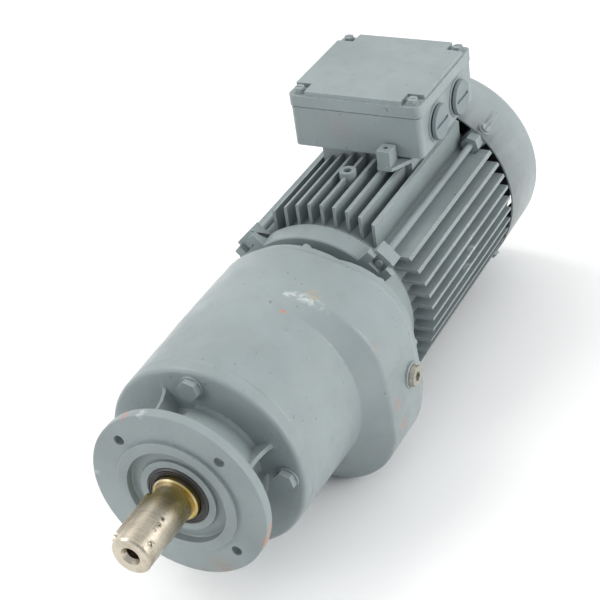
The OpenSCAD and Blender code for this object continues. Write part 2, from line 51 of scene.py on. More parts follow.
scene = bpy.context.scene

# ------------------------------------------------------------------ camera
cam_data = bpy.data.cameras.new("camera")
cam_data.sensor_width = 36.0
cam_data.lens = 96.84
cam_data.clip_start = 0.05
cam_data.clip_end = 20.0
cam = bpy.data.objects.new("camera", cam_data)
scene.collection.objects.link(cam)
cam.matrix_world = Matrix((
    (0.88775456, -0.14965, 0.43531221, 0.62623),
    (0.44161472, 0.54370696, -0.71369404, -0.79437),
    (-0.12987796, 0.82582542, 0.54876598, 0.82671),
    (0, 0, 0, 1)))
scene.camera = cam

# ------------------------------------------------------------------ mesh helpers
def rounded(pts, r=0.6, seg=3, radii=None):
    """round the corners of a closed outline"""
    out = []
    n = len(pts)
    for i in range(n):
        p = np.array(pts[i], float); a = np.array(pts[i - 1], float); b = np.array(pts[(i + 1) % n], float)
        ri = r if radii is None else radii[i]
        u = a - p; v = b - p
        lu = np.linalg.norm(u); lv = np.linalg.norm(v)
        if ri <= 0 or lu < 1e-9 or lv < 1e-9 or (len(p) and p[0] < 1e-6):
            out.append(tuple(p)); continue
        u /= lu; v /= lv
        ang = math.acos(max(-1, min(1, float(u @ v))))
        if ang > math.pi - 0.06:
            out.append(tuple(p)); continue
        t = min(ri / math.tan(ang / 2), lu * 0.48, lv * 0.48)
        A = p + u * t; B = p + v * t
        for k in range(seg + 1):
            s = k / seg
            out.append(tuple((1 - s) ** 2 * A + 2 * s * (1 - s) * p + s * s * B))
    return out


def lathe(prof, seg=144, cx=0.0, cz=0.0):
    """turned solid about the Y direction from a closed [r, y] outline"""
    verts, faces, idx = [], [], []
    for (r, y) in prof:
        if r < 1e-6:
            idx.append([len(verts)] * seg)
            verts.append((cx, y, cz))
        else:
            b = len(verts)
            for k in range(seg):
                a = 2 * math.pi * k / seg
                verts.append((cx + r * math.cos(a), y, cz + r * math.sin(a)))
            idx.append(list(range(b, b + seg)))
    n = len(prof)
    for i in range(n):
        j = (i + 1) % n
        for k in range(seg):
            k2 = (k + 1) % seg
            g = []
            for v in (idx[i][k], idx[i][k2], idx[j][k2], idx[j][k]):
                if v not in g:
                    g.append(v)
            if len(g) >= 3:
                faces.append(g)
    return verts, faces


def bevelled(verts, faces, width=0.5, seg=2, angle=25):
    bm = bmesh.new()
    vs = [bm.verts.new(v) for v in verts]
    for f in faces:
        try:
            bm.faces.new([vs[i] for i in f])
        except ValueError:
            pass
    bmesh.ops.recalc_face_normals(bm, faces=bm.faces)
    if width > 0:
        es = [e for e in bm.edges if len(e.link_faces) == 2 and e.calc_face_angle(0) > math.radians(angle)]
        bmesh.ops.bevel(bm, geom=es, offset=width, segments=seg, profile=0.5, affect="EDGES", clamp_overlap=True)
    bm.verts.index_update()
    out = [tuple(v.co) for v in bm.verts], [[v.index for v in f.verts] for f in bm.faces]
    bm.free()
    return out


def prism(poly, y0, y1, width=0.5, seg=2):
    """an XZ outline drawn out along Y, edges rounded"""
    n = len(poly)
    verts = [(x, y0, z) for x, z in poly] + [(x, y1, z) for x, z in poly]
    faces = [list(range(n)), list(range(2 * n - 1, n - 1, -1))]
    faces += [[i, (i + 1) % n, n + (i + 1) % n, n + i] for i in range(n)]
    return bevelled(verts, faces, width, seg)


def slab(poly, z0, z1, width=0.5, seg=2, angle=25):
    """an XY outline drawn out along Z, edges rounded"""
    n = len(poly)
    verts = [(x, y, z0) for x, y in poly] + [(x, y, z1) for x, y in poly]
    faces = [list(range(n)), list(range(2 * n - 1, n - 1, -1))]
    faces += [[i, (i + 1) % n, n + (i + 1) % n, n + i] for i in range(n)]
    return bevelled(verts, faces, width, seg, angle)


def boxm(x0, x1, y0, y1, z0, z1, width=0.5, seg=2):
    return slab([(x0, y0), (x1, y0), (x1, y1), (x0, y1)], z0, z1, width, seg)


def turn(mesh, a):
    """turn a mesh made on +X to the direction a (degrees), from +X towards +Z"""
    c, s = math.cos(math.radians(a)), math.sin(math.radians(a))
    return [(x * c - z * s, y, x * s + z * c) for x, y, z in mesh[0]], mesh[1]


def moved(mesh, dx=0, dy=0, dz=0):
    return [(x + dx, y + dy, z + dz) for x, y, z in mesh[0]], mesh[1]


def to_x(mesh, x=0, y=0, z=0):
    """a mesh turned about Y and starting at y=0 laid along +X from the point"""
    return [(x + b, y + a, z + c) for a, b, c in mesh[0]], [list(reversed(f)) for f in mesh[1]]


def to_z(mesh, x=0, y=0, z=0):
    return [(x + a, y + c, z + b) for a, b, c in mesh[0]], [list(reversed(f)) for f in mesh[1]]


def join(*meshes):
    V, F = [], []
    for v, f in meshes:
        b = len(V)
        V += list(v)
        F += [[i + b for i in g] for g in f]
    return V, F


def raw_object(name, mesh):
    me = bpy.data.meshes.new(name)
    me.from_pydata([(x * MM, y * MM, z * MM) for x, y, z in mesh[0]], [], mesh[1])
    bm = bmesh.new()
    bm.from_mesh(me)
    bmesh.ops.recalc_face_normals(bm, faces=bm.faces)
    bm.to_mesh(me)
    bm.free()
    me.update()
    ob = bpy.data.objects.new(name, me)
    scene.collection.objects.link(ob)
    return ob


def apply_mods(ob):
    dg = bpy.context.evaluated_depsgraph_get()
    dg.update()
    me = bpy.data.meshes.new_from_object(ob.evaluated_get(dg))
    old = ob.data
    ob.modifiers.clear()
    ob.data = me
    bpy.data.meshes.remove(old)


def carve(ob, meshes, op="DIFFERENCE", solver="MANIFOLD"):
    """boolean with each mesh in turn; keeps the old mesh if a step comes out empty"""
    for i, m in enumerate(meshes):
        c = raw_object("cutter", m)
        mod = ob.modifiers.new("b", "BOOLEAN")
        mod.operation = op
        mod.solver = solver
        mod.object = c
        dg = bpy.context.evaluated_depsgraph_get()
        dg.update()
        me = bpy.data.meshes.new_from_object(ob.evaluated_get(dg))
        ob.modifiers.clear()
        if len(me.polygons) < 4:
            print("boolean came out empty:", ob.name, i)
            if solver == "MANIFOLD":
                bpy.data.meshes.remove(me)
                cme = c.data
                bpy.data.objects.remove(c)
                bpy.data.meshes.remove(cme)
                carve(ob, [m], op, "EXACT")
                continue
        else:
            old = ob.data
            ob.data = me
            bpy.data.meshes.remove(old)
        cme = c.data
        bpy.data.objects.remove(c)
        bpy.data.meshes.remove(cme)


def finish_piece(ob, mat, body="root", replaces=(), sharp=32):
    me = ob.data
    me.materials.clear()
    me.materials.append(mat)
    me.polygons.foreach_set("use_smooth", [True] * len(me.polygons))
    me.polygons.foreach_set("material_index", [0] * len(me.polygons))
    if sharp:
        me.set_sharp_from_angle(angle=math.radians(sharp))
    me.update()
    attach(ob, body)
    if replaces:
        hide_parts(*replaces)
    return ob


def piece(name, mesh, mat, body="root", replaces=(), cut=(), sharp=32, slot=None):
    ob = raw_object(name, mesh)
    if cut:
        carve(ob, cut)
    return finish_piece(ob, mat, body, replaces, sharp)


# ------------------------------------------------------------------ materials
def nt_new(name):
    m = bpy.data.materials.new(name)
    m.use_nodes = True
    nt = m.node_tree
    nt.nodes.clear()
    out = nt.nodes.new("ShaderNodeOutputMaterial")
    bs = nt.nodes.new("ShaderNodeBsdfPrincipled")
    nt.links.new(bs.outputs[0], out.inputs[0])
    return m, nt, bs


class G:
    """small node builder"""
    def __init__(self, nt):
        self.nt = nt
        self.tc = nt.nodes.new("ShaderNodeTexCoord")

    def link(self, a, b):
        self.nt.links.new(a, b)

    def coords(self, scale=(1, 1, 1), loc=(0, 0, 0)):
        mp = self.nt.nodes.new("ShaderNodeMapping")
        mp.inputs["Scale"].default_value = scale
        mp.inputs["Location"].default_value = loc
        self.link(self.tc.outputs["Object"], mp.inputs["Vector"])
        return mp.outputs[0]

    def noise(self, scale, detail=3, rough=0.5, stretch=(1, 1, 1), loc=(0, 0, 0), dist=0.0):
        n = self.nt.nodes.new("ShaderNodeTexNoise")
        n.inputs["Scale"].default_value = scale
        n.inputs["Detail"].default_value = detail
        n.inputs["Roughness"].default_value = rough
        n.inputs["Distortion"].default_value = dist
        self.link(self.coords(stretch, loc), n.inputs["Vector"])
        return n.outputs["Fac"]

    def voronoi(self, scale, stretch=(1, 1, 1), feature="F1", rand=1.0):
        n = self.nt.nodes.new("ShaderNodeTexVoronoi")
        n.feature = feature
        n.inputs["Scale"].default_value = scale
        n.inputs["Randomness"].default_value = rand
        self.link(self.coords(stretch), n.inputs["Vector"])
        return n.outputs["Distance"]

    def ramp(self, fac, stops):
        r = self.nt.nodes.new("ShaderNodeValToRGB")
        e = r.color_ramp.elements
        while len(e) < len(stops):
            e.new(0.5)
        for k, (p, c) in enumerate(stops):
            e[k].position = p
            e[k].color = (c, c, c, 1) if isinstance(c, (int, float)) else (*c, 1)
        self.link(fac, r.inputs[0])
        return r.outputs[0]

    def math(self, op, a, b=None, clamp=False):
        m = self.nt.nodes.new("ShaderNodeMath")
        m.operation = op
        m.use_clamp = clamp
        for i, v in enumerate((a, b)):
            if v is None:
                continue
            if isinstance(v, (int, float)):
                m.inputs[i].default_value = v
            else:
                self.link(v, m.inputs[i])
        return m.outputs[0]

    def mix(self, fac, a, b):
        m = self.nt.nodes.new("ShaderNodeMix")
        m.data_type = "RGBA"
        if isinstance(fac, (int, float)):
            m.inputs[0].default_value = fac
        else:
            self.link(fac, m.inputs[0])
        for i, v in ((6, a), (7, b)):
            if isinstance(v, tuple):
                m.inputs[i].default_value = (*v, 1)
            else:
                self.link(v, m.inputs[i])
        return m.outputs[2]

    def mixf(self, fac, a, b):
        m = self.nt.nodes.new("ShaderNodeMix")
        m.data_type = "FLOAT"
        self.link(fac, m.inputs[0])
        for i, v in ((2, a), (3, b)):
            if isinstance(v, (int, float)):
                m.inputs[i].default_value = v
            else:
                self.link(v, m.inputs[i])
        return m.outputs[0]

    def bump(self, height, strength, dist, normal=None):
        b = self.nt.nodes.new("ShaderNodeBump")
        b.inputs["Strength"].default_value = strength
        b.inputs["Distance"].default_value = dist
        self.link(height, b.inputs["Height"])
        if normal is not None:
            self.link(normal, b.inputs["Normal"])
        return b.outputs[0]

    def edge(self, radius):
        """1 on outer edges: how far the bevelled normal leaves the true one"""
        bv = self.nt.nodes.new("ShaderNodeBevel")
        bv.samples = 4
        bv.inputs["Radius"].default_value = radius
        ge = self.nt.nodes.new("ShaderNodeNewGeometry")
        d = self.nt.nodes.new("ShaderNodeVectorMath")
        d.operation = "DOT_PRODUCT"
        self.link(bv.outputs[0], d.inputs[0])
        self.link(ge.outputs["Normal"], d.inputs[1])
        return self.math("SUBTRACT", 1.0, d.outputs["Value"], clamp=True)

    def near(self, p, r0, r1):
        """1 inside r0 of the point p (metres), 0 past r1"""
        d = self.nt.nodes.new("ShaderNodeVectorMath")
        d.operation = "DISTANCE"
        self.link(self.tc.outputs["Object"], d.inputs[0])
        d.inputs[1].default_value = p
        mr = self.nt.nodes.new("ShaderNodeMapRange")
        mr.inputs["From Min"].default_value = r0
        mr.inputs["From Max"].default_value = r1
        mr.inputs["To Min"].default_value = 1
        mr.inputs["To Max"].default_value = 0
        self.link(d.outputs["Value"], mr.inputs["Value"])
        return mr.outputs[0]

    def sep(self):
        s = self.nt.nodes.new("ShaderNodeSeparateXYZ")
        self.link(self.tc.outputs["Object"], s.inputs[0])
        return s.outputs


PAINT = (0.232, 0.274, 0.280)


def paint(name, base=PAINT, rough=0.42, cast=1.0, wear=0.5, dirt=0.5, marks=(), chips=0.3, edge_r=0.0012):
    m, nt, bs = nt_new(name)
    g = G(nt)
    big = g.noise(9, 3, 0.55)
    mid = g.noise(55, 4, 0.6)
    fine = g.noise(900, 3, 0.6)
    pore = g.noise(420, 4, 0.7)
    lo = tuple(c * 0.90 for c in base)
    hi = tuple(min(1, c * 1.12 + 0.004) for c in base)
    col = g.mix(g.ramp(big, [(0.32, 0.0), (0.68, 1.0)]), lo, hi)
    # thin film of dust and grime
    grime = tuple(c * k for c, k in zip(base, (0.72, 0.66, 0.58)))
    col = g.mix(g.math("MULTIPLY", g.ramp(mid, [(0.52, 0.0), (0.80, 1.0)]), 0.35 * dirt), col, grime)
    dust = (0.42, 0.41, 0.38)
    col = g.mix(g.math("MULTIPLY", g.ramp(g.noise(24, 5, 0.7, loc=(3, 1, 2)), [(0.50, 0.0), (0.85, 1.0)]), 0.30 * dirt), col, dust)
    # worn edges: primer and bare metal
    e = g.edge(edge_r)
    em = g.math("MULTIPLY", g.ramp(e, [(0.03, 0.0), (0.16, 1.0)]), g.ramp(g.noise(160, 5, 0.75), [(0.54 - 0.10 * wear, 0.0), (0.66 - 0.10 * wear, 1.0)]))
    em = g.math("MULTIPLY", em, min(1.0, 0.4 + wear))
    col = g.mix(em, col, (0.50, 0.51, 0.49))
    # small chips and specks
    ch = g.math("MULTIPLY", g.ramp(g.noise(240, 2, 0.5, loc=(7, 5, 1)), [(0.735 - 0.02 * chips, 0.0), (0.76 - 0.02 * chips, 1.0)]), 0.8)
    col = g.mix(ch, col, (0.075, 0.07, 0.065))
    wear_and_highlight_mask = em
    # rubs at given places, and on the gear case a painted highlight along the lobe crest mixed with worn paint: (point
    # mm, r0, r1, colour, strength)
    for (p, r0, r1, c, st) in marks:
        k = g.near(tuple(v * MM for v in p), r0 * MM, r1 * MM)
        k = g.math("MULTIPLY", k, g.ramp(g.noise(190, 4, 0.7, loc=(p[0] * 0.01, 0, 0)), [(0.44, 0.0), (0.56, 1.0)]))
        k = g.math("MULTIPLY", k, st, clamp=True)
        col = g.mix(k, col, c)
        wear_and_highlight_mask = g.math("MAXIMUM", wear_and_highlight_mask, k)
    g.link(col, bs.inputs["Base Color"])
    ro = g.mixf(g.ramp(mid, [(0.3, 0.0), (0.7, 1.0)]), rough - 0.05, rough + 0.10)
    ro = g.mixf(wear_and_highlight_mask, ro, 0.62)
    g.link(ro, bs.inputs["Roughness"])
    bs.inputs["Specular IOR Level"].default_value = 0.5
    n1 = g.bump(pore, 0.22 * cast, 0.0006)
    n2 = g.bump(mid, 0.16 * cast, 0.0022, n1)
    n3 = g.bump(fine, 0.10, 0.0002, n2)
    n4 = g.bump(g.math("SUBTRACT", 1.0, g.math("MAXIMUM", em, ch)), 0.35, 0.0001, n3)
    g.link(n4, bs.inputs["Normal"])
    return m


ORANGE = (0.62, 0.16, 0.045)
WHITE = (0.72, 0.75, 0.74)
RUST = (0.34, 0.17, 0.08)
OCHRE = (0.40, 0.32, 0.15)

# the WHITE marks along the lobe crest (y 171-174) are worn paint together with a painted highlight on the crest
m_case = paint("paint_case", cast=1.0, wear=0.35, rough=0.34, marks=[
    ((33, 150, 86), 2.0, 3.6, ORANGE, 1.0), ((26, 171, 89), 1.5, 5, WHITE, 0.55), ((33, 172.5, 86.5), 2, 7, WHITE, 0.5), ((40, 173.5, 83.5), 2, 8, WHITE, 0.55),
    ((47, 173.5, 80.5), 2, 8, WHITE, 0.55), ((54, 173, 77), 2, 7, WHITE, 0.45), ((61, 172, 73), 2, 6, WHITE, 0.5),
    ((44, 182, 81), 5, 10, OCHRE, 0.45), ((58, 207, 73), 1.4, 2.8, ORANGE, 0.9),
    ((110, 184, -20), 4, 9, ORANGE, 0.22), ((111, 190, -45), 4, 9, ORANGE, 0.26), ((98, 178, 42), 3, 8, ORANGE, 0.16)])
m_flange = paint("paint_flange", cast=0.8, wear=0.55, marks=[
    ((76, 5, -30), 3, 9, ORANGE, 0.85), ((78, 7, -18), 3, 8, ORANGE, 0.5), ((-38, 4, 72), 2, 7, ORANGE, 0.55),
    ((-20, 3, 78), 2, 6, WHITE, 0.5), ((30, 0, -68), 6, 18, RUST, 0.35), ((-80, 4, 6), 3, 9, WHITE, 0.4), ((10, 4, -80), 4, 12, RUST, 0.3)])
m_alu = paint("paint_housing", cast=0.5, wear=0.5, dirt=0.8, rough=0.46, marks=[
    ((100, 395, 12), 3, 9, WHITE, 0.9), ((99, 382, 0), 3, 9, WHITE, 0.8), ((98, 400, 25), 3, 8, WHITE, 0.6)])
m_shield = paint("paint_shield", cast=0.7, wear=0.4, dirt=0.6)
m_cowl = paint("paint_cowl", base=(0.240, 0.278, 0.284), cast=0.15, wear=0.25, dirt=0.3, rough=0.36)
m_box = paint("paint_box", cast=0.45, wear=0.45, dirt=0.55, marks=[((-20, 380, 130), 6, 22, RUST, 0.18)])
m_plug = paint("paint_plug", base=(0.165, 0.205, 0.215), cast=0.15, wear=0.2, dirt=0.4, rough=0.5)
m_bolt = paint("paint_bolt", cast=0.3, wear=0.7, dirt=0.7, edge_r=0.0008)


def steel(name, base, rough=0.30, dark=(0.16, 0.13, 0.10), stains=0.5, stretch=(1, 40, 1), golden=False, metallic=1.0):
    m, nt, bs = nt_new(name)
    g = G(nt)
    lines = g.noise(30, 4, 0.6, stretch=stretch)
    blot = g.noise(45, 5, 0.65, loc=(2, 0, 5))
    fine = g.noise(600, 3, 0.6)
    col = g.mix(g.ramp(lines, [(0.3, 0.0), (0.7, 1.0)]), tuple(c * 0.82 for c in base), tuple(min(1, c * 1.12) for c in base))
    col = g.mix(g.math("MULTIPLY", g.ramp(blot, [(0.48, 0.0), (0.72, 1.0)]), stains), col, dark)
    pits = g.ramp(g.noise(330, 3, 0.6, loc=(1, 9, 4)), [(0.66, 0.0), (0.72, 1.0)])
    pm = g.math("MULTIPLY", pits, stains)
    if golden:
        xyz = g.sep()
        # oil film by the seal
        mr = nt.nodes.new("ShaderNodeMapRange")
        mr.inputs["From Min"].default_value = -0.036
        mr.inputs["From Max"].default_value = -0.014
        g.link(xyz[1], mr.inputs["Value"])
        film = g.math("MULTIPLY", mr.outputs[0], g.ramp(g.noise(60, 4, 0.6, loc=(4, 4, 4)), [(0.36, 0.15), (0.56, 1.0)]))
        film = g.math("MULTIPLY", film, 0.80)
        col = g.mix(film, col, (0.50, 0.36, 0.06))
        ring = g.near((0.008, -0.022, 0.016), 0.004, 0.013)
        col = g.mix(g.math("MULTIPLY", ring, 0.55), col, (0.17, 0.12, 0.075))
        # pitted line along the shaft
        for (p, r0, r1) in (((0.0118, -0.040, 0.0130), 0.0008, 0.0030), ((0.0121, -0.046, 0.0127), 0.0008, 0.0034),
                            ((0.0120, -0.052, 0.0128), 0.0006, 0.0026), ((0.0150, -0.064, 0.0090), 0.001, 0.005)):
            k = g.math("MULTIPLY", g.near(p, r0, r1), g.ramp(g.noise(500, 3, 0.6), [(0.40, 0.0), (0.52, 1.0)]))
            pm = g.math("MAXIMUM", pm, k)
    col = g.mix(pm, col, (0.06, 0.045, 0.035))
    g.link(col, bs.inputs["Base Color"])
    bs.inputs["Metallic"].default_value = metallic
    ro = g.mixf(g.ramp(blot, [(0.40, 0.0), (0.70, 1.0)]), rough, rough + 0.22)
    g.link(ro, bs.inputs["Roughness"])
    n1 = g.bump(lines, 0.10, 0.0003)
    n2 = g.bump(fine, 0.12, 0.0001, n1)
    n3 = g.bump(g.math("SUBTRACT", 1.0, pm), 0.5, 0.0003, n2)
    g.link(n3, bs.inputs["Normal"])
    return m


m_shaft = steel("shaft_steel", (0.56, 0.51, 0.42), rough=0.26, dark=(0.24, 0.19, 0.13), stains=0.60, golden=True)
m_steel = steel("machined_steel", (0.62, 0.62, 0.61), rough=0.26, stains=0.15)
m_plated = steel("plated_zinc", (0.46, 0.45, 0.39), rough=0.34, dark=(0.22, 0.20, 0.14), stains=0.45)
m_lam = steel("lamination", (0.22, 0.22, 0.24), rough=0.45, stains=0.3, stretch=(1, 400, 1))
m_cage = steel("cage_aluminium", (0.72, 0.72, 0.74), rough=0.42, stains=0.15)
m_brass = steel("plain_brass", (0.76, 0.56, 0.24), rough=0.28, dark=(0.35, 0.24, 0.10), stains=0.3)
m_copper = steel("copper_ring", (0.72, 0.38, 0.22), rough=0.34, dark=(0.25, 0.12, 0.07), stains=0.4)


def plain(name, base, rough, bump=0.15, scale=500, spec=0.5, rings=False, coat=0.0):
    m, nt, bs = nt_new(name)
    g = G(nt)
    n = g.noise(30, 4, 0.6)
    f = g.noise(scale, 3, 0.6)
    col = g.mix(g.ramp(n, [(0.35, 0.0), (0.68, 1.0)]), tuple(c * 0.8 for c in base), tuple(min(1, c * 1.25 + 0.004) for c in base))
    g.link(col, bs.inputs["Base Color"])
    g.link(g.mixf(g.ramp(n, [(0.3, 0.0), (0.7, 1.0)]), rough - 0.06, rough + 0.1), bs.inputs["Roughness"])
    bs.inputs["Specular IOR Level"].default_value = spec
    bs.inputs["Coat Weight"].default_value = coat
    g.link(g.bump(f, bump, 0.0002), bs.inputs["Normal"])
    return m


m_rubber = plain("seal_rubber", (0.022, 0.022, 0.024), 0.36)
m_gasket = plain("gasket", (0.035, 0.036, 0.038), 0.6)
m_fan = plain("fan_plastic", (0.035, 0.036, 0.04), 0.5)
m_block = plain("block_plastic", (0.10, 0.045, 0.025), 0.45)
m_wind = plain("winding_varnish", (0.33, 0.11, 0.035), 0.3, bump=0.5, scale=260, coat=0.4)

# ------------------------------------------------------------------ gear case
L1 = np.array([36.0, 12.0]); L2 = np.array([40.0, -38.0]); LR = 71.5
CX = 48.3
CZ = -math.sqrt(54.0 ** 2 - CX ** 2)
COVER = [(-57, 57), (4, 80.5), (-80.5, 0), (-57, -57), (-10, -80), (72, 57), (97, -2), (84, -76), (42, -97)]


def lobe_reach(theta, r):
    """distance from the shaft axis to the lobe outline in each direction"""
    e = np.stack([np.cos(theta), np.sin(theta)], -1)
    lo = np.zeros(len(theta)); hi = np.full(len(theta), 200.0)
    d = L2 - L1
    for _ in range(36):
        mid = (lo + hi) / 2
        p = e * mid[:, None]
        t = np.clip(((p - L1) @ d) / (d @ d), 0, 1)
        q = L1 + t[:, None] * d
        inside = np.hypot(*(p - q).T) < r
        lo = np.where(inside, mid, lo); hi = np.where(inside, hi, mid)
    return lo


def smax(a, b, k):
    h = np.clip(0.5 + 0.5 * (a - b) / k, 0, 1)
    return b * (1 - h) + a * h + k * h * (1 - h)


NT = 360
theta = np.arange(NT) * 2 * math.pi / NT
ys = sorted(set([62.0, 62.35, 62.8, 63.4] + list(np.arange(66, 146, 5.0)) + list(np.arange(146, 178, 0.5)) + list(np.arange(178, 225, 3.0))
                + list(np.arange(225, 237.8, 0.75)) + [237.7, 238.0]))
inset_y = [229, 232, 234.5, 236.5, 237.6, 238]
inset_d = [0.0, 0.5, 1.4, 2.7, 4.5, 6.2]


def lobe_rise(full, rc, y):
    """how much of the lobe's height stands at this y: a slope that starts at a valley line and ends in a worn crest"""
    rise = full - rc
    w = 3.0 + 17.5 * (1 - np.exp(-rise / 1.6))
    t = (y - 152.0) / w
    f = np.where(t < 0, 0, np.where(t > 1, 1, t))
    lo_k, hi_k = 0.04, 0.11
    f = np.where(np.abs(t) < lo_k, (t + lo_k) ** 2 / (4 * lo_k), f)
    u = t - 1
    f = np.where(np.abs(u) < hi_k, 1 - (hi_k - u) ** 2 / (4 * hi_k), f)
    return rc + rise * f


verts = []
for y in ys:
    rc = min(92.0, 90.4 + 1.6 * (y - 62.0) / 88.0)
    if y < 63.4:
        rc -= 0.18 * ((63.4 - y) / 1.4) ** 2
    if y > 229:
        rc = 92.0 - 6.5 * (1 - math.sqrt(max(0, 1 - ((y - 229) / 9.001) ** 2)))
    if y > 146:
        L = lobe_reach(theta, LR - float(np.interp(y, inset_y, inset_d)))
        full = np.maximum(smax(L, np.full(NT, rc), 9.0), rc)
        R = lobe_rise(full, rc, y)
    else:
        R = np.full(NT, rc)
    # slight unevenness of a sand casting
    R = R + 0.10 * np.sin(theta * 5 + y * 0.05) * np.sin(y * 0.11 + 1.3) + 0.07 * np.sin(theta * 11 - y * 0.13)
    # flat limits at the plug side and at the underside of the lobe
    R = np.minimum(R, 110.7 / np.maximum(np.cos(theta), 0.3))
    R = np.minimum(R, np.where(np.sin(theta) < -0.3, 109.3 / np.maximum(-np.sin(theta), 0.3), 400.0))
    verts += [(R[k] * math.cos(theta[k]), y, R[k] * math.sin(theta[k])) for k in range(NT)]
ny = len(ys)
faces = []
for j in range(ny - 1):
    for k in range(NT):
        k2 = (k + 1) % NT
        faces.append([j * NT + k, j * NT + k2, (j + 1) * NT + k2, (j + 1) * NT + k])
verts.append((0, ys[0], 0)); c0 = len(verts) - 1
verts.append((0, ys[-1], 0)); c1 = len(verts) - 1
for k in range(NT):
    k2 = (k + 1) % NT
    faces.append([c0, k2, k])
    faces.append([c1, (ny - 1) * NT + k, (ny - 1) * NT + k2])
case = raw_object("gear_case_casting", (verts, faces))


def cylm(r, y0, y1, x=0.0, z=0.0, seg=96):
    return lathe([(0, y0), (r, y0), (r, y1), (0, y1)], seg, x, z)


def lobe_prism(r, y0, y1):
    d = (L2 - L1) / np.linalg.norm(L2 - L1)
    an = math.atan2(d[0], -d[1])
    pts = [tuple(L1 + r * np.array([math.cos(an + math.pi * k / 40), math.sin(an + math.pi * k / 40)])) for k in range(41)]
    pts += [tuple(L2 + r * np.array([math.cos(an + math.pi + math.pi * k / 40), math.sin(an + math.pi + math.pi * k / 40)])) for k in range(41)]
    return prism(pts, y0, y1, 0)


def minus(mesh, cuts):
    ob = raw_object("tmp", mesh)
    carve(ob, cuts)
    me = ob.data
    out = [tuple(v.co / MM) for v in me.vertices], [list(p.vertices) for p in me.polygons]
    bpy.data.objects.remove(ob)
    bpy.data.meshes.remove(me)
    return out


def xcyl(r, x0, x1, y, z, seg=64, rnd=0.0):
    prof = [(0, 0), (r, 0), (r, x1 - x0), (0, x1 - x0)]
    if rnd:
        prof = rounded(prof, rnd, 4)
    return to_x(lathe(prof, seg), x0, y, z)


quarter = [(75 * math.cos(math.radians(a)), 74 * math.sin(math.radians(a))) for a in (0, 90, 180, 270)]
carve(case, [xcyl(12.5, 90, 111.2, 217, -12, rnd=1.0)], "UNION")
front = minus(cylm(80, 61, 118, seg=128), [cylm(11, 60, 94, x, z, 48) for x, z in quarter])
rear = minus(cylm(84, 134, 240, seg=128), [cylm(8, 212, 242, x, z, 32) for x, z in COVER])
rear2 = minus(lobe_prism(62.5, 186, 240), [cylm(8, 212, 242, x, z, 32) for x, z in COVER])
carve(case, [front, rear, rear2, lobe_prism(59.5, 178, 187), cylm(26, 117, 133), cylm(16, 117, 135),
             cylm(23.5, 120, 135, CX, CZ), cylm(19.5, 117, 121, CX, CZ)]
      + [cylm(5.02, 60, 86, x, z, 32) for x, z in quarter]
      + [xcyl(8.02, 80, 120, 217, -12, 48), turn(xcyl(8.02, 70, 110, 205, 0, 48), 205), turn(xcyl(11.5, 90.8, 101, 205, 0, 48), 205)]
      + [cylm(3.02, 216, 240, x, z, 24) for x, z in COVER])
finish_piece(case, m_case, "root", ["gear_case"], sharp=38)

# ------------------------------------------------------------------ output flange casting
# plate, spigot ring, groove and seal hub: turned, edges eased
plate = lathe(rounded([(0, 0.0), (28.0, 0.0), (34.7, 0.0), (34.7, 3.0), (36.2, 4.2), (44.0, 4.2), (45.3, 3.0), (45.3, -3.5),
                       (55.0, -3.5), (55.0, 0.0), (80.0, 0.0), (80.0, 10.0), (0, 10.0)], 0.7, 4,
                      radii=[0, 0, 0.6, 1.2, 0.8, 1.0, 0.6, 0.7, 0.8, 0.35, 1.1, 1.4, 0]), 240)
NF = 720
th = np.arange(NF) * 2 * math.pi / NF


def arc_pts(p0, c, p1, n):
    return [tuple((1 - s) ** 2 * np.array(p0) + 2 * s * (1 - s) * np.array(c) + s * s * np.array(p1)) for s in np.linspace(0, 1, n)]


def resample(pts, counts):
    out = []
    for (a, b), n in zip(zip(pts[:-1], pts[1:]), counts):
        for k in range(n):
            out.append(np.array(a) + (np.array(b) - np.array(a)) * k / n)
    out.append(np.array(pts[-1]))
    return out


def neck_profile(kind):
    tail = [(86.0, 48.0), (87.8, 48.35), (89.3, 49.4), (90.0, 50.8), (90.2, 52.5), (90.38, 61.3), (90.35, 61.7), (90.2, 62.0)]
    if kind == "drum":
        a = [(64.6, 9.5), (63.3, 10.8), (62.6, 12.4), (62.5, 15.0), (62.5, 27.0), (61.0, 31.0), (56.2, 43.0), (56.0, 45.0), (57.4, 47.6), (60.5, 48.0)]
    elif kind == "pocket":
        a = [(53.6, 9.5), (51.6, 11.0), (50.4, 13.2), (50.0, 16.0), (50.0, 27.0), (50.0, 31.0), (50.0, 42.0), (50.5, 45.0), (52.2, 47.4), (55.8, 48.0)]
    else:
        a = [(69.6, 9.5), (67.6, 10.8), (66.7, 12.6), (66.2, 15.0), (66.0, 27.0), (66.3, 31.0), (67.6, 38.0), (70.0, 44.4), (73.0, 47.4), (78.0, 48.0)]
    cnt = [2, 2, 2, 6, 2, 6, 2, 3, 3, 4, 2, 2, 2, 2, 3, 2, 2]
    return np.array(resample(a + tail, cnt))


P = {k: neck_profile(k) for k in ("drum", "pocket", "rib")}
deg = np.degrees(th)
RIBS = [25, 112, 205, 292]
rib_w = np.zeros(NF); pocket_w = np.zeros(NF)
for j in range(4):
    dr = (deg - (RIBS[j]) + 180) % 360 - 180
    rib_w = np.maximum(rib_w, np.clip((2.9 - np.abs(dr)) / 1.3, 0, 1))
    dp = (deg - (100.5 + 90 * j) + 180) % 360 - 180
    pocket_w = np.maximum(pocket_w, np.clip((11.8 - np.abs(dp)) / 2.6, 0, 1))
rib_w = rib_w * rib_w * (3 - 2 * rib_w)
pocket_w = pocket_w * pocket_w * (3 - 2 * pocket_w)
npf = len(P["drum"])
nv = []
for i in range(npf):
    for k in range(NF):
        base = P["drum"][i] * (1 - pocket_w[k]) + P["pocket"][i] * pocket_w[k]
        q = base * (1 - rib_w[k]) + P["rib"][i] * rib_w[k]
        nv.append((q[0] * math.cos(th[k]), q[1], q[0] * math.sin(th[k])))
nf = []
